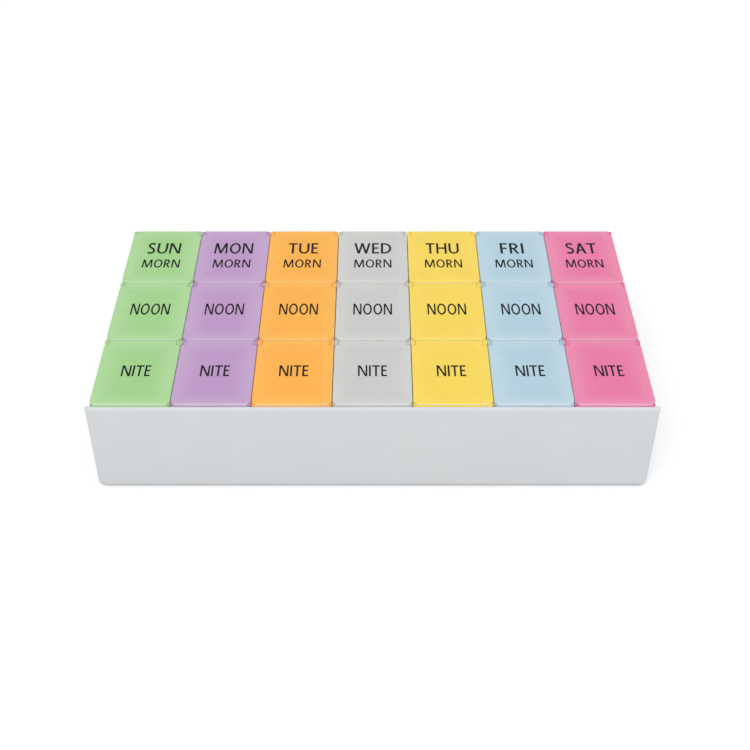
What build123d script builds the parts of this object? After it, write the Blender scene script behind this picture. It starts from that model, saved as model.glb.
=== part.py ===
# Weekly pill organiser. An open tray holds seven lift-out pill boxes side by side, one for each day.
# Each box has three cups in a row, and each cup has its own flip lid, hinged at its rear edge.
# Millimetres. X runs along the week, +Y to the rear, +Z up, origin under the middle of the tray.

import os

from build123d import *

# Days from left to right, and the cups of one day from front to rear
days = ("sunday", "monday", "tuesday", "wednesday", "thursday", "friday", "saturday")
cups = ("night", "noon", "morning")

# Spacing of the boxes and of their lids
box_pitch = 28.0
cup_pitch = 36.0
box_gap = 0.2

# Tray
tray_height = 38.0
tray_wall = 1.5
tray_floor = 2.0
tray_corner_radius = 2.6
tray_bottom_radius = 2.4
tray_inner_radius = 1.0
rim_round = 0.45
tray_clearance = 0.25

# The tray's side and rear walls are lower than its front wall, which carries round the corners
rim_drop = 8.0
front_return = 2.4
return_top_round = 1.2
return_foot_round = 4.0

# Day box
box_wall = 1.3
box_floor = 1.3
box_corner_radius = 1.2
box_bottom_radius = 1.2
box_edge_round = 0.3
cup_corner_radius = 2.5
cup_bottom_radius = 2.0

# Lid
lid_rise = 0.8
lid_thickness = 1.1
lid_side_inset = 0.02
lid_front_inset = 0.3
lid_gap = 0.25
lid_front_radius = 2.4
lid_shoulder_radius = 1.3
lid_edge_round = 0.5

# Plug frame under the lid, which drops into the cup
plug_depth = 2.0
plug_wall = 1.2
plug_clearance = 0.4
plug_corner_radius = 2.1
plug_root_round = 0.8

# Round marks that the mould's ejector pins leave under the lid
mark_radius = 1.1
mark_depth = 0.2
mark_inset = 2.6

# Hinge
knuckle_radius = 1.3
pin_radius = 0.6
pin_clearance = 0.05
pin_end_gap = 0.1
side_clearance = 0.25
ear_half_length = 1.5
ear_rise = 1.15
ear_round = 1.3
ear_root = 3.0

# Sizes that follow
box_width = box_pitch - box_gap
box_length = len(cups) * cup_pitch + box_wall
box_front = -box_length / 2
inner_width = len(days) * box_pitch - box_gap + 2 * tray_clearance
inner_depth = box_length + 2 * tray_clearance
tray_width = inner_width + 2 * tray_wall
tray_depth = inner_depth + 2 * tray_wall
tray_inner_corner = max(tray_corner_radius - tray_wall, tray_wall / 2)

lid_top = tray_height + lid_rise
deck = lid_top - lid_thickness
axis_height = lid_top - knuckle_radius
box_height = deck - tray_floor
cup_width = box_width - 2 * box_wall
cup_length = cup_pitch - box_wall
lid_width = box_width - 2 * lid_side_inset
knuckle_length = cup_width - 2 * side_clearance
pin_span = box_width - 2 * pin_end_gap
axis_offset = cup_pitch + lid_front_inset - lid_gap - knuckle_radius


def day_middle(day):
    """X of the middle of a day's box."""
    return (day - (len(days) - 1) / 2) * box_pitch


def cup_front(cup):
    """Y of the front face of the wall in front of a cup."""
    return box_front + cup * cup_pitch


def hinge_line(cup):
    """Y of the hinge axis behind a cup."""
    return cup_front(cup) + axis_offset


def build_tray():
    with BuildPart() as tray:
        with BuildSketch(Plane.XY):
            RectangleRounded(tray_width, tray_depth, tray_corner_radius)
        extrude(amount=tray_height)
        fillet(tray.faces().sort_by(Axis.Z)[0].edges(), tray_bottom_radius)
        with BuildSketch(Plane.XY.offset(tray_floor)):
            RectangleRounded(inner_width, inner_depth, tray_inner_corner)
        extrude(amount=tray_height - tray_floor, mode=Mode.SUBTRACT)
        fillet(tray.edges().filter_by_position(Axis.Z, tray_floor, tray_floor), tray_inner_radius)
        # Side and rear walls lower than the front wall, with a rounded step near each front corner
        low_rim = tray_height - rim_drop
        step_y = front_return - tray_depth / 2
        with BuildSketch(Plane.YZ.offset(-tray_width / 2)):
            with Locations(((step_y + tray_depth / 2) / 2, (low_rim + tray_height) / 2)):
                cut = Rectangle(tray_depth - front_return, rim_drop)
            fillet(cut.vertices().group_by(Axis.Y)[0].sort_by(Axis.X)[0], return_foot_round)
            with Locations((step_y - return_top_round / 2, tray_height - return_top_round / 2)):
                Rectangle(return_top_round, return_top_round)
            with Locations((step_y - return_top_round, tray_height - return_top_round)):
                Circle(return_top_round, mode=Mode.SUBTRACT)
        extrude(amount=tray_width, mode=Mode.SUBTRACT)
        # Rounded rim, apart from the short edges that run across it
        rim = tray.edges().filter_by(lambda edge: edge.bounding_box().min.Z > low_rim - rim_round)
        across = rim.filter_by(Axis.X).filter_by(lambda edge: abs(edge.center().X) > inner_width / 2)
        fillet(rim - across, rim_round)
    return tray.part


def build_box():
    """A day's box, centred on X = 0."""
    with BuildPart() as box:
        # Outer block, with its edges eased
        with BuildSketch(Plane.XY.offset(tray_floor)):
            RectangleRounded(box_width, box_length, box_corner_radius)
        extrude(amount=box_height)
        fillet(box.faces().sort_by(Axis.Z)[0].edges(), box_bottom_radius)
        fillet(box.faces().sort_by(Axis.Z)[-1].edges(), box_edge_round)
        # Three open cups with rounded floors
        cup_floor = tray_floor + box_floor
        for cup in range(len(cups)):
            with BuildSketch(Plane.XY.offset(cup_floor)):
                with Locations((0, cup_front(cup) + box_wall + cup_length / 2)):
                    RectangleRounded(cup_width, cup_length, cup_corner_radius)
            extrude(amount=deck - cup_floor, mode=Mode.SUBTRACT)
        fillet(box.edges().filter_by_position(Axis.Z, cup_floor, cup_floor), cup_bottom_radius)
        # Relief in each cup's rear corners for the ends of the knuckle
        for cup in range(len(cups)):
            with BuildSketch(Plane.YZ.offset(-cup_width / 2)):
                with Locations((hinge_line(cup), axis_height)):
                    Circle(knuckle_radius + side_clearance)
            extrude(amount=cup_width, mode=Mode.SUBTRACT)
        # Ears that stand on the side walls beside each hinge, with a hole right through for the pins
        ear_top = axis_height + ear_rise
        ear_foot = deck - ear_root
        for cup in range(len(cups)):
            for wall_face in (-box_width / 2, box_width / 2 - box_wall):
                with BuildSketch(Plane.YZ.offset(wall_face)) as ear:
                    with Locations((hinge_line(cup), (ear_top + ear_foot) / 2)):
                        Rectangle(2 * ear_half_length, ear_top - ear_foot)
                    fillet(ear.vertices().group_by(Axis.Y)[-1], ear_round)
                extrude(amount=box_wall)
            with BuildSketch(Plane.YZ.offset(-box_width / 2)):
                with Locations((hinge_line(cup), axis_height)):
                    Circle(pin_radius + pin_clearance)
            extrude(amount=box_width, mode=Mode.SUBTRACT)
    return box.part


def build_lid():
    """The lid of the cup at the front, centred on X = 0."""
    axis_y = hinge_line(0)
    front = cup_front(0) + lid_front_inset
    shoulder = axis_y - ear_half_length - side_clearance
    plug_front = cup_front(0) + box_wall + plug_clearance
    plug_rear = axis_y - knuckle_radius - plug_clearance
    plug_width = cup_width - 2 * plug_clearance
    plug_length = plug_rear - plug_front
    plug_middle = (plug_front + plug_rear) / 2
    with BuildPart() as lid:
        # Plate: full width as far as the ears, then as wide as the knuckle
        with BuildSketch(Plane.XY.offset(deck)):
            with Locations((0, (front + shoulder) / 2)):
                full = Rectangle(lid_width, shoulder - front)
            fillet(full.vertices().group_by(Axis.Y)[0], lid_front_radius)
            with Locations((0, (shoulder + axis_y) / 2)):
                Rectangle(knuckle_length, axis_y - shoulder)
        extrude(amount=lid_thickness)
        corners = lid.edges().filter_by(Axis.Z).group_by(Axis.Y)[-2]
        fillet(corners.sort_by(Axis.X)[0:1] + corners.sort_by(Axis.X)[-1:], lid_shoulder_radius)
        # Knuckle along the rear edge
        with BuildSketch(Plane.YZ.offset(-knuckle_length / 2)):
            with Locations((axis_y, axis_height)):
                Circle(knuckle_radius)
        extrude(amount=knuckle_length)
        # One round along the top edges and down round the knuckle's ends
        rim = lid.faces().sort_by(Axis.Z)[-1].edges()
        ends = lid.edges().filter_by(GeomType.CIRCLE).filter_by(
            lambda edge: abs(abs(edge.center().X) - knuckle_length / 2) < 0.01)
        fillet(rim - rim.sort_by(Axis.Y)[-1:] + ends, lid_edge_round)
        # A pin at each end of the knuckle
        with BuildSketch(Plane.YZ.offset(-pin_span / 2)):
            with Locations((axis_y, axis_height)):
                Circle(pin_radius)
        extrude(amount=pin_span)
        # Plug frame
        with BuildSketch(Plane.XY.offset(deck)):
            with Locations((0, plug_middle)):
                RectangleRounded(plug_width, plug_length, plug_corner_radius)
                RectangleRounded(
                    plug_width - 2 * plug_wall,
                    plug_length - 2 * plug_wall,
                    plug_corner_radius - plug_wall,
                    mode=Mode.SUBTRACT,
                )
        extrude(amount=-plug_depth)
        pocket = lid.faces().sort_by_distance((0, plug_middle, deck))[0]
        fillet(pocket.edges(), plug_root_round)
        # Ejector marks inside the frame
        mark_span_x = plug_width - 2 * (plug_wall + mark_inset)
        mark_span_y = plug_length - 2 * (plug_wall + mark_inset)
        with BuildSketch(Plane.XY.offset(deck)):
            with Locations((0, plug_middle)):
                with GridLocations(mark_span_x, mark_span_y, 2, 2):
                    Circle(mark_radius)
        extrude(amount=mark_depth, mode=Mode.SUBTRACT)
    return lid.part


def save(part, name):
    part.label = name
    export_step(part, f"parts/{name}.step")


os.makedirs("parts", exist_ok=True)
save(build_tray(), "tray")
day_box = build_box()
front_lid = build_lid()
for day, day_name in enumerate(days):
    save(day_box.moved(Location((day_middle(day), 0, 0))), f"{day_name}_box")
    for cup, cup_name in enumerate(cups):
        place = Location((day_middle(day), cup * cup_pitch, 0))
        save(front_lid.moved(place), f"{day_name}_{cup_name}_lid")
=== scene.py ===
import math

import bmesh
import bpy
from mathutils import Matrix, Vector
from mathutils.geometry import tessellate_polygon


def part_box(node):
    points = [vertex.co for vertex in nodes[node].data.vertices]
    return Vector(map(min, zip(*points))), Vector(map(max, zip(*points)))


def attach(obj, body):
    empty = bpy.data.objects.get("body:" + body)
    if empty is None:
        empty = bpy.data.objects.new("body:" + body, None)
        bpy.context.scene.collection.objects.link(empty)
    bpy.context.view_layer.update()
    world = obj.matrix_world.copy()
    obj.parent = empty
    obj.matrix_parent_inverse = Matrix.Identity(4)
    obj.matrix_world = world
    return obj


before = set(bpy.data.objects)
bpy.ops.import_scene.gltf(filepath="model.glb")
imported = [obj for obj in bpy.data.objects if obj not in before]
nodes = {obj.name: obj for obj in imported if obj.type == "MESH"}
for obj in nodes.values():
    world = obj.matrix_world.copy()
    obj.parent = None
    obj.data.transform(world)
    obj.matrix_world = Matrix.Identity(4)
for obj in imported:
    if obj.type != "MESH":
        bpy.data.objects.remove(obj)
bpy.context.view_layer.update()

DAYS = ("sunday", "monday", "tuesday", "wednesday", "thursday", "friday", "saturday")
CUPS = ("night", "noon", "morning")
MM = 0.001

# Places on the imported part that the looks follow. Along a box, distances start at its front face.
box_low, box_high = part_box("sunday_box")
lid_low, lid_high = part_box("sunday_night_lid")
BOX_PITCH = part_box("monday_box")[0].x - box_low.x
CUP_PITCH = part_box("sunday_noon_lid")[0].y - lid_low.y
BOX_FRONT = box_low.y
BOX_HALF_WIDTH = (box_high.x - box_low.x) / 2
BOX_WALL = 1.3 * MM
EAR_INNER_FACE = BOX_HALF_WIDTH - BOX_WALL
LID_TOP = lid_high.z
LID_FRONT = lid_low.y - box_low.y
LID_REAR = lid_high.y - box_low.y
LID_HALF_WIDTH = (lid_high.x - lid_low.x) / 2
LID_THICKNESS = 1.1 * MM
LID_SHOULDER = 33.0 * MM
KNUCKLE_HALF_LENGTH = 12.35 * MM
WALL_TOP = LID_TOP - LID_THICKNESS
ROW_SEAM = (LID_FRONT + LID_REAR - CUP_PITCH) / 2

# Colours as seen, 0 to 255: the middle of a lid, darkened by painted shade of the cup under it, its border, paler
# with painted light, and the box under it
PLASTIC = {
    "sunday": ((158, 208, 135), (173, 215, 152), (150, 205, 126)),
    "monday": ((187, 148, 196), (194, 162, 203), (180, 132, 186)),
    "tuesday": ((253, 176, 64), (254, 182, 74), (252, 170, 54)),
    "wednesday": ((200, 202, 199), (207, 208, 205), (188, 189, 185)),
    "thursday": ((247, 214, 80), (249, 216, 89), (246, 211, 62)),
    "friday": ((176, 206, 221), (187, 213, 225), (158, 192, 213)),
    "saturday": ((231, 117, 161), (234, 135, 172), (228, 102, 154)),
}
TRAY_TINTS = (211, 215, 218), (212, 214, 216)
INK_TINTS = (12, 13, 16), (24, 25, 29)
PLASTIC_IOR = 1.49
WHITE = (1.0, 1.0, 1.0, 1.0)

# A lid's colour changes from border to middle in two steps, over the plug frame and further in: painted light at
# the border going to painted shade of the cup in the middle.
# Each step has its start and end, as distances from the lid's edge, and its share of the change.
FRAME_OUTER, FRAME_INNER, FRAME_SHARE = 1.6 * MM, 4.2 * MM, 0.35
MIDDLE_START, MIDDLE_FULL, MIDDLE_SHARE = 3.0 * MM, 8.4 * MM, 0.65

# The border's soft corners and uneven edge, how much narrower it is in front, and the tone of the frame's lines
CORNER_SOFTNESS = 5.0 * MM
EDGE_WOBBLE = 1.1 * MM
FRONT_NARROWING = 1.6
FRAME_LINE_TONE = -0.022

# Ejector marks under a lid: half their spacing each way, and the middle of the four along the box
MARK_X, MARK_Y, MARK_MIDDLE = 8.4 * MM, 11.88 * MM, 17.38 * MM
MARK_TONE = -0.05

# Painted light on side faces, standing in for light let through the plastic: how far they go to a paler colour,
# and the power that makes it
PAINTED_GLOW = 0.95
GLOW_PALENESS = 0.35

# The printing goes from just inside a lid's top to just above it
INK_BELOW, INK_ABOVE = 0.02 * MM, 0.03 * MM


def linear(colour, gain=1.0):
    """An 8-bit colour as Blender's linear colour."""
    out = []
    for value in colour:
        c = value / 255
        c = c / 12.92 if c <= 0.04045 else ((c + 0.055) / 1.055) ** 2.4
        out.append(min(c * gain, 1.0))
    return (*out, 1.0)


def glow_colour(colour):
    """The linear colour of a side face brightened by painted light."""
    return tuple(c ** GLOW_PALENESS for c in linear(colour))


def put(tree, value, socket):
    """Links another node's output to a socket, or sets the socket's own value. None leaves it alone."""
    if isinstance(value, bpy.types.NodeSocket):
        tree.links.new(value, socket)
    elif value is not None:
        socket.default_value = value


def add_node(tree, kind, inputs=(), **settings):
    """A new node with its settings. Its inputs are given in order, or by name in a dictionary."""
    node = tree.nodes.new("ShaderNode" + kind)
    for name, value in settings.items():
        setattr(node, name, value)
    pairs = inputs.items() if isinstance(inputs, dict) else enumerate(inputs)
    for key, value in pairs:
        put(tree, value, node.inputs[key])
    return node


class Maker:
    """Short names for building one material's nodes."""

    def __init__(self, name):
        self.material = bpy.data.materials.new(name)
        self.material.use_nodes = True
        self.tree = self.material.node_tree
        self.shader = self.tree.nodes["Principled BSDF"]
        self.where = add_node(self.tree, "TexCoord").outputs["Object"]
        self.x, self.y, self.z = add_node(self.tree, "SeparateXYZ", (self.where,)).outputs

    def surface(self, **inputs):
        """Sets the shader's inputs, which are named with _ for a space."""
        for name, value in inputs.items():
            put(self.tree, value, self.shader.inputs[name.replace("_", " ")])

    def math(self, operation, *inputs):
        return add_node(self.tree, "Math", inputs, operation=operation).outputs[0]

    def step(self, value, low, high, out_low=0.0, out_high=1.0):
        """Smooth change from out_low to out_high as value goes from low to high."""
        inputs = (value, low, high, out_low, out_high)
        return add_node(self.tree, "MapRange", inputs, interpolation_type="SMOOTHSTEP").outputs[0]

    def mix(self, factor, a, b):
        """Colour a, going to b with factor. The node's colour sockets share their names, so they go by number."""
        return add_node(self.tree, "Mix", {0: factor, 6: a, 7: b}, data_type="RGBA").outputs[2]

    def shade(self, colour, amount):
        """Colour times amount."""
        inputs = {"Vector": colour, "Scale": amount}
        return add_node(self.tree, "VectorMath", inputs, operation="SCALE").outputs[0]

    def noise(self, scale, detail=2.0):
        inputs = {"Vector": self.where, "Scale": scale, "Detail": detail, "Roughness": 0.5}
        return add_node(self.tree, "TexNoise", inputs).outputs[0]

    def mottle(self, wide, fine):
        """Lightness that drifts over centimetres and is grainy below a millimetre, both round 1."""
        drift = self.step(self.noise(70.0, 3.0), 0.3, 0.7, 1.0 - wide, 1.0 + wide)
        grain = self.step(self.noise(1400.0), 0.25, 0.75, 1.0 - fine, 1.0 + fine)
        return self.math("MULTIPLY", drift, grain)

    def roughness(self, scale, smooth, rough):
        """Roughness that drifts between two values."""
        return self.step(self.noise(scale, 3.0), 0.3, 0.7, smooth, rough)

    def across(self, day):
        """Distance to either side of the middle of a day's box."""
        return self.math("ABSOLUTE", self.math("SUBTRACT", self.x, (day - 3) * BOX_PITCH))

    def apart(self, value, place):
        """Distance of a value from a place."""
        return self.math("ABSOLUTE", self.math("SUBTRACT", value, place))

    def bump(self, *heights):
        """Chains bumps, each given as (height, strength, distance)."""
        normal = None
        for height, strength, distance in heights:
            inputs = {"Strength": strength, "Distance": distance, "Height": height, "Normal": normal}
            normal = add_node(self.tree, "Bump", inputs).outputs[0]
        put(self.tree, normal, self.shader.inputs["Normal"])

    def scatter(self):
        """Light that enters the plastic a little way."""
        self.surface(Subsurface_Weight=0.12, Subsurface_Radius=(1.0, 1.0, 1.0), Subsurface_Scale=0.8 * MM)


def lid_plastic(day, middle, border):
    """Translucent lid: pale with painted light at its border and over the plug frame, which scatter light, and
    deeper with painted shade over the cup, whose shaded inside shows through.
    """
    m = Maker(f"{DAYS[day]}_lid_plastic")
    across = m.across(day)
    along = m.math("FLOORED_MODULO", m.math("SUBTRACT", m.y, BOX_FRONT), CUP_PITCH)
    # Depth inside the lid's edges, with soft corners; the pale border is narrower at the front
    outside_front = m.math("MULTIPLY", m.math("SUBTRACT", LID_FRONT, along), FRONT_NARROWING)
    outside_rear = m.math("SUBTRACT", along, LID_REAR)
    outside = m.math("SMOOTH_MAX", m.math("SUBTRACT", across, LID_HALF_WIDTH),
                     m.math("MAXIMUM", outside_front, outside_rear), CORNER_SOFTNESS)
    depth = m.math("MULTIPLY", outside, -1.0)
    wobble = m.math("MULTIPLY", m.math("SUBTRACT", m.noise(160.0), 0.5), EDGE_WOBBLE)
    # Painted light and shade: the pale border, the band over the plug frame, and the middle darkened by painted
    # shade of the cup beneath
    frame_band_shade = m.step(depth, FRAME_OUTER, FRAME_INNER, 0.0, FRAME_SHARE)
    cup_shade = m.step(m.math("ADD", depth, wobble), MIDDLE_START, MIDDLE_FULL, 0.0, MIDDLE_SHARE)
    colour = m.mix(m.math("ADD", frame_band_shade, cup_shade), linear(border), linear(middle))
    # The plug frame's faces show as two faint lines
    outer_line = m.step(m.apart(depth, FRAME_OUTER), 0.0, 0.35 * MM, 1.0, 0.0)
    inner_line = m.step(m.apart(depth, FRAME_INNER), 0.0, 0.4 * MM, 1.0, 0.0)
    lines = m.math("MULTIPLY_ADD", m.math("ADD", outer_line, inner_line), FRAME_LINE_TONE, 1.0)
    # Ejector marks
    mark_x = m.math("SUBTRACT", across, MARK_X)
    mark_y = m.math("SUBTRACT", m.apart(along, MARK_MIDDLE), MARK_Y)
    square = m.math("ADD", m.math("MULTIPLY", mark_x, mark_x), m.math("MULTIPLY", mark_y, mark_y))
    from_mark = m.math("SQRT", square)
    patchy = m.step(m.noise(420.0), 0.35, 0.65, 0.25, 1.0)
    mark = m.math("MULTIPLY", m.step(from_mark, 0.7 * MM, 1.7 * MM, 1.0, 0.0), patchy)
    marks = m.math("MULTIPLY_ADD", mark, MARK_TONE, 1.0)
    # Painted light on side faces below the top, standing in for light let through the plastic: in the seams
    # between rows and between days, and beside the ears
    from_seam = m.math("MINIMUM", m.apart(along, ROW_SEAM), m.apart(along, ROW_SEAM + CUP_PITCH))
    at_row = m.step(from_seam, 0.3 * MM, 1.0 * MM, 1.0, 0.0)
    at_side = m.step(m.math("SUBTRACT", LID_HALF_WIDTH, across), 0.2 * MM, 0.6 * MM, 1.0, 0.0)
    at_ear = m.math("MULTIPLY", m.step(m.math("SUBTRACT", along, LID_SHOULDER), -0.6 * MM, -0.1 * MM),
                    m.step(m.math("SUBTRACT", across, KNUCKLE_HALF_LENGTH), -0.6 * MM, -0.1 * MM))
    below_top = m.step(m.z, LID_TOP - 0.45 * MM, LID_TOP - 0.1 * MM, 1.0, 0.0)
    painted_light = m.math("MULTIPLY", m.math("MAXIMUM", at_row, m.math("MAXIMUM", at_side, at_ear)), below_top)
    colour = m.mix(m.math("MULTIPLY", painted_light, PAINTED_GLOW), colour, glow_colour(border))
    tone = m.math("MULTIPLY", m.math("MULTIPLY", lines, marks), m.mottle(0.012, 0.010))
    m.surface(Base_Color=m.shade(colour, tone), Roughness=m.roughness(300.0, 0.40, 0.50), IOR=PLASTIC_IOR)
    m.bump((m.noise(90.0), 0.25, 0.10 * MM), (m.noise(2600.0), 0.18, 0.02 * MM), (mark, 0.35, -0.04 * MM))
    m.scatter()
    return m.material


def box_plastic(day, colour):
    """The same plastic in the deeper walls of a box."""
    m = Maker(f"{DAYS[day]}_box_plastic")
    # Painted light: walls a little paler towards their top edges, where light enters them
    painted_light = m.step(m.z, WALL_TOP - 4.7 * MM, WALL_TOP, 0.0, 0.25)
    base = m.mix(painted_light, linear(colour), linear(colour, 1.06))
    # Painted light on side faces, standing in for light let through the plastic: the ears' inner faces, and the
    # tops of the walls in the seams between days
    across = m.across(day)
    ear_glow = m.math("MULTIPLY", m.step(m.z, WALL_TOP + 0.05 * MM, WALL_TOP + 0.2 * MM),
                 m.step(across, EAR_INNER_FACE + 0.05 * MM, EAR_INNER_FACE + 0.2 * MM, 1.0, 0.0))
    outer = m.math("MULTIPLY", m.step(m.z, WALL_TOP - 1.5 * MM, WALL_TOP - 0.3 * MM),
                   m.step(across, BOX_HALF_WIDTH - 0.2 * MM, BOX_HALF_WIDTH - 0.05 * MM))
    base = m.mix(m.math("MULTIPLY", m.math("MAXIMUM", ear_glow, outer), PAINTED_GLOW), base, glow_colour(colour))
    m.surface(Base_Color=m.shade(base, m.mottle(0.02, 0.012)), Roughness=m.roughness(260.0, 0.38, 0.50),
              IOR=PLASTIC_IOR)
    m.bump((m.noise(80.0), 0.2, 0.08 * MM), (m.noise(2400.0), 0.15, 0.02 * MM))
    m.scatter()
    return m.material


def tray_plastic():
    """Opaque satin grey with a fine moulded grain; painted light makes the front wall's top a little brighter and
    the face lighter upwards, and painted shade darkens it a touch near the bottom.
    """
    m = Maker("tray_plastic")
    # Painted shade near the bottom, painted light along the top of the front wall and lighter upwards; the mottle
    # is the plastic's own
    foot = m.step(m.z, 0.0, 3.4 * MM, 0.90, 1.0)
    rim_light = m.step(m.z, 35.6 * MM, 37.9 * MM, 1.0, 1.045)
    upward_light = m.step(m.z, 4.0 * MM, 36.0 * MM, 0.985, 1.01)
    tone = m.math("MULTIPLY", m.math("MULTIPLY", foot, rim_light), m.math("MULTIPLY", upward_light, m.mottle(0.010, 0.012)))
    tint = m.mix(m.step(m.noise(45.0), 0.35, 0.65), *map(linear, TRAY_TINTS))
    m.surface(Base_Color=m.shade(tint, tone), Roughness=m.roughness(220.0, 0.42, 0.52), IOR=PLASTIC_IOR)
    m.bump((m.noise(35.0), 0.25, 0.25 * MM), (m.noise(2200.0), 0.22, 0.03 * MM))
    return m.material


def print_ink():
    """Matt black printing with slightly uneven cover."""
    m = Maker("print_ink")
    cover = m.step(m.noise(900.0), 0.3, 0.7)
    m.surface(Base_Color=m.mix(cover, *map(linear, INK_TINTS)),
              Roughness=m.step(m.noise(700.0), 0.3, 0.7, 0.55, 0.7), Specular_IOR_Level=0.15)
    m.bump((m.noise(3000.0), 0.2, 0.01 * MM))
    return m.material


# Lettering: plain sans-serif capitals of height 1, with these stroke widths upright and level
STEM = 0.158
BAR = 0.132


def arc(cx, cy, rx, ry, start, end, count):
    """Points on an ellipse, count steps from start to end degrees."""
    return [(cx + rx * math.cos(math.radians(start + (end - start) * i / count)),
             cy + ry * math.sin(math.radians(start + (end - start) * i / count))) for i in range(count + 1)]


def ribbon(points, width):
    """Outline of an even stroke along a smooth line through points."""
    line = []
    for i in range(len(points) - 1):
        p0, p1, p2, p3 = (Vector(points[max(i - 1, 0)]), Vector(points[i]), Vector(points[i + 1]),
                          Vector(points[min(i + 2, len(points) - 1)]))
        for k in range(5):
            t = k / 5
            line.append(0.5 * (2 * p1 + (p2 - p0) * t + (2 * p0 - 5 * p1 + 4 * p2 - p3) * t * t
                               + (3 * p1 - p0 - 3 * p2 + p3) * t ** 3))
    line.append(Vector(points[-1]))
    left, right = [], []
    for i, p in enumerate(line):
        way = (line[min(i + 1, len(line) - 1)] - line[max(i - 1, 0)]).normalized()
        side = Vector((-way.y, way.x)) * width / 2
        left.append(tuple(p + side))
        right.append(tuple(p - side))
    return left + right[::-1]


def letters():
    """Each letter as (width, outer loop, holes)."""
    s, b = STEM, BAR
    glyph = {}
    glyph["I"] = (s, [(0, 0), (s, 0), (s, 1), (0, 1)], [])
    w = 0.80
    glyph["N"] = (w, [(0, 0), (s * 0.92, 0), (s * 0.92, 0.8), (w - 0.2, 0), (w, 0), (w, 1), (w - s * 0.92, 1),
                      (w - s * 0.92, 0.2), (0.2, 1), (0, 1)], [])
    w = 0.50
    glyph["E"] = (w, [(0, 0), (w, 0), (w, b), (s, b), (s, 0.46), (w - 0.05, 0.46), (w - 0.05, 0.46 + b),
                      (s, 0.46 + b), (s, 1 - b), (w - 0.01, 1 - b), (w - 0.01, 1), (0, 1)], [])
    w = 0.48
    glyph["F"] = (w, [(0, 0), (s, 0), (s, 0.44), (w - 0.04, 0.44), (w - 0.04, 0.44 + b), (s, 0.44 + b),
                      (s, 1 - b), (w, 1 - b), (w, 1), (0, 1)], [])
    w = 0.66
    glyph["T"] = (w, [(w / 2 - s / 2, 0), (w / 2 + s / 2, 0), (w / 2 + s / 2, 1 - b), (w, 1 - b), (w, 1), (0, 1),
                      (0, 1 - b), (w / 2 - s / 2, 1 - b)], [])
    w = 0.76
    glyph["H"] = (w, [(0, 0), (s, 0), (s, 0.46), (w - s, 0.46), (w - s, 0), (w, 0), (w, 1), (w - s, 1),
                      (w - s, 0.46 + b), (s, 0.46 + b), (s, 1), (0, 1)], [])
    w = 1.02
    glyph["M"] = (w, [(0, 0), (0.142, 0), (0.176, 0.7), (w / 2 - 0.07, 0.02), (w / 2 + 0.07, 0.02),
                      (w - 0.176, 0.7), (w - 0.142, 0), (w, 0), (w - 0.055, 1), (w - 0.24, 1),
                      (w / 2, 0.24), (0.24, 1), (0.055, 1)], [])
    w = 1.18
    glyph["W"] = (w, [(0.24, 0), (0.4, 0), (w / 2, 0.72), (w - 0.4, 0), (w - 0.24, 0), (w, 1), (w - 0.157, 1),
                      (w - 0.326, 0.27), (w / 2 + 0.077, 1), (w / 2 - 0.077, 1), (0.326, 0.27), (0.157, 1),
                      (0, 1)], [])
    w = 0.74
    glyph["A"] = (w, [(0, 0), (0.162, 0), (0.238, 0.27), (w - 0.238, 0.27), (w - 0.162, 0), (w, 0),
                      (w / 2 + 0.092, 1), (w / 2 - 0.092, 1)],
                  [[(0.272, 0.39), (w / 2, 0.76), (w - 0.272, 0.39)]])
    w = 0.86
    glyph["O"] = (w, arc(w / 2, 0.5, w / 2, 0.515, 0, 360, 48)[:-1],
                  [arc(w / 2, 0.5, w / 2 - s, 0.515 - b, 360, 0, 48)[:-1]])
    w = 0.76
    glyph["U"] = (w, [(0, 1)] + arc(w / 2, 0.36, w / 2, 0.375, 180, 360, 24) + [(w, 1), (w - s, 1)]
                  + arc(w / 2, 0.36, w / 2 - s, 0.375 - b, 360, 180, 24) + [(s, 1)], [])
    w = 0.76
    glyph["D"] = (w, [(0, 0)] + arc(0.24, 0.5, w - 0.24, 0.5, -90, 90, 28) + [(0, 1)],
                  [[(s, b), (s, 1 - b)] + arc(0.24, 0.5, w - 0.24 - s, 0.5 - b, 90, -90, 28)])
    w = 0.63
    glyph["R"] = (w, [(0, 0), (s, 0), (s, 0.41), (0.225, 0.41), (0.452, 0), (w, 0), (0.375, 0.437)]
                  + arc(0.27, 0.715, 0.295, 0.285, -55, 90, 18) + [(0, 1)],
                  [[(s, 0.41 + b), (s, 1 - b)] + arc(0.27, 0.705, 0.295 - s, 0.163, 90, -90, 18)])
    spine = [(0.475, 0.865), (0.37, 0.93), (0.26, 0.948), (0.13, 0.905), (0.07, 0.79), (0.105, 0.66), (0.24, 0.55),
             (0.37, 0.46), (0.455, 0.33), (0.445, 0.19), (0.35, 0.085), (0.21, 0.052), (0.10, 0.075),
             (0.035, 0.115)]
    glyph["S"] = (0.53, ribbon(spine, 0.146), [])
    return glyph


GLYPHS = letters()
SIDE_SPACE = {"T": 0.09, "A": 0.06, "W": 0.08}
PLAIN_SPACE = 0.15


def space_between(first, second):
    return (SIDE_SPACE.get(first, PLAIN_SPACE) + SIDE_SPACE.get(second, PLAIN_SPACE)) / 2


def word_width(word):
    return sum(GLYPHS[c][0] for c in word) + sum(map(space_between, word, word[1:]))


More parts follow.
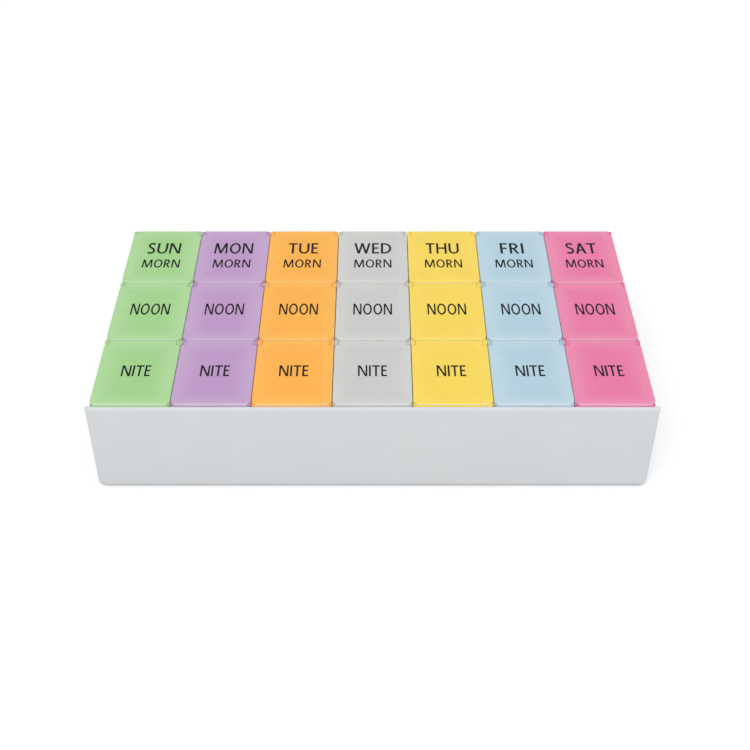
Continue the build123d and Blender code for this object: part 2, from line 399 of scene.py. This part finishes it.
def print_words(name, rows, ink):
    """One thin printed piece on a lid. rows are (word, middle x, baseline y, width, height) in millimetres."""
    shape = bmesh.new()
    low, high = LID_TOP - INK_BELOW, LID_TOP + INK_ABOVE
    for word, middle, base, width, height in rows:
        across = width / word_width(word)
        x = middle - width / 2
        for i, letter in enumerate(word):
            letter_width, outer, holes = GLYPHS[letter]
            flat = [[Vector(((x + px * across) * MM, (base + py * height) * MM, 0.0)) for px, py in loop]
                    for loop in [outer] + holes]
            tops = [[shape.verts.new((p.x, p.y, high)) for p in loop] for loop in flat]
            feet = [[shape.verts.new((p.x, p.y, low)) for p in loop] for loop in flat]
            all_tops = [v for loop in tops for v in loop]
            all_feet = [v for loop in feet for v in loop]
            for tri in tessellate_polygon(flat):
                shape.faces.new([all_tops[k] for k in tri])
                shape.faces.new([all_feet[k] for k in reversed(tri)])
            for top, foot in zip(tops, feet):
                for k in range(len(top)):
                    n = (k + 1) % len(top)
                    shape.faces.new((foot[k], foot[n], top[n], top[k]))
            x += letter_width * across
            if i + 1 < len(word):
                x += space_between(letter, word[i + 1]) * across
    bmesh.ops.recalc_face_normals(shape, faces=shape.faces)
    mesh = bpy.data.meshes.new(name)
    shape.to_mesh(mesh)
    shape.free()
    mesh.materials.append(ink)
    piece = bpy.data.objects.new(name, mesh)
    bpy.context.scene.collection.objects.link(piece)
    return piece


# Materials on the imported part
nodes["tray"].material_slots[0].material = tray_plastic()
for day, name in enumerate(DAYS):
    # A lid's middle colour holds painted shade of the cup beneath, and its border painted light
    middle, border, wall = PLASTIC[name]
    nodes[f"{name}_box"].material_slots[0].material = box_plastic(day, wall)
    plastic = lid_plastic(day, middle, border)
    for cup in CUPS:
        nodes[f"{name}_{cup}_lid"].material_slots[0].material = plastic

# Printed words, in millimetres: a day's word has its own width, and a cup's has baseline y, width and height
DAY_BASE, DAY_HEIGHT = 36.7, 7.4
DAY_WORDS = {
    "sunday": ("SUN", 13.1),
    "monday": ("MON", 15.4),
    "tuesday": ("TUE", 11.9),
    "wednesday": ("WED", 14.9),
    "thursday": ("THU", 13.3),
    "friday": ("FRI", 9.4),
    "saturday": ("SAT", 12.2),
}
CUP_WORDS = {
    "night": ("NITE", -39.7, 10.3, 6.0),
    "noon": ("NOON", -3.7, 14.6, 6.8),
    "morning": ("MORN", 27.0, 14.8, 5.5),
}
ink = print_ink()
for day, name in enumerate(DAYS):
    x = (day - 3) * BOX_PITCH / MM
    for cup in CUPS:
        word, base, width, height = CUP_WORDS[cup]
        rows = [(word, x, base, width, height)]
        if cup == "morning":
            word, width = DAY_WORDS[name]
            rows.insert(0, (word, x, DAY_BASE, width, DAY_HEIGHT))
        piece = print_words(f"{name}_{cup}_print", rows, ink)
        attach(piece, f"{name}_{cup}_lid")

# Floor: white to the camera, with the object's shadow, and pale grey to the object
FLOOR_DROP = 0.0001
FLOOR_GREY = (0.86, 0.86, 0.86, 1.0)
FLOOR_LIFT = 0.12
bpy.ops.mesh.primitive_plane_add(size=6.0, location=(0, 0, -FLOOR_DROP))
floor = bpy.context.object
floor.name = "floor"
paper = bpy.data.materials.new("floor_paper")
paper.use_nodes = True
tree = paper.node_tree
tree.nodes.clear()
rays = add_node(tree, "LightPath").outputs
plain = add_node(tree, "BsdfDiffuse", {"Color": FLOOR_GREY})
bright = add_node(tree, "BsdfDiffuse", {"Color": WHITE})
lift = add_node(tree, "Emission", {"Strength": FLOOR_LIFT})
lifted = add_node(tree, "AddShader", (bright.outputs[0], lift.outputs[0]))
choose = add_node(tree, "MixShader", (rays["Is Camera Ray"], plain.outputs[0], lifted.outputs[0]))
add_node(tree, "OutputMaterial", (choose.outputs[0],))
floor.data.materials.append(paper)

# Even white surroundings, seen at full white by the camera and in reflections
FILL_STRENGTH = 0.75
world = bpy.data.worlds.new("studio")
bpy.context.scene.world = world
world.use_nodes = True
tree = world.node_tree
tree.nodes.clear()
rays = add_node(tree, "LightPath").outputs
fill = add_node(tree, "Background", {"Color": WHITE, "Strength": FILL_STRENGTH})
white = add_node(tree, "Background", {"Color": WHITE, "Strength": 1.0})
first = add_node(tree, "Math", (rays["Is Camera Ray"], rays["Is Glossy Ray"]), operation="MAXIMUM")
second = add_node(tree, "Math", (first.outputs[0], rays["Is Transmission Ray"]), operation="MAXIMUM")
choose = add_node(tree, "MixShader", (second.outputs[0], fill.outputs[0], white.outputs[0]))
add_node(tree, "OutputWorld", (choose.outputs[0],))


def soft_lamp(name, place, size, power):
    """A square area lamp aimed at the object."""
    data = bpy.data.lights.new(name, "AREA")
    data.shape = "SQUARE"
    data.size = size
    data.energy = power
    lamp = bpy.data.objects.new(name, data)
    lamp.location = place
    lamp.rotation_euler = (Vector((0, 0, 0.02)) - Vector(place)).to_track_quat("-Z", "Y").to_euler()
    bpy.context.scene.collection.objects.link(lamp)


soft_lamp("key", place=(-0.7, -1.0, 1.5), size=1.2, power=9.6)
soft_lamp("side", place=(1.3, -0.7, 0.9), size=0.8, power=4.2)

# Camera at the photograph's viewing angle: its place in metres, and degrees below the horizon
CAMERA_PLACE = (0.00088, -0.37377, 0.31954)
CAMERA_DOWN = 39.989
data = bpy.data.cameras.new("camera")
data.sensor_width = 36.0
data.lens = 59.244
data.clip_start = 0.01
camera = bpy.data.objects.new("camera", data)
camera.location = CAMERA_PLACE
camera.rotation_euler = (math.radians(90 - CAMERA_DOWN), 0.0, 0.0)
bpy.context.scene.collection.objects.link(camera)
bpy.context.scene.camera = camera

bpy.context.scene.view_settings.view_transform = "Standard"
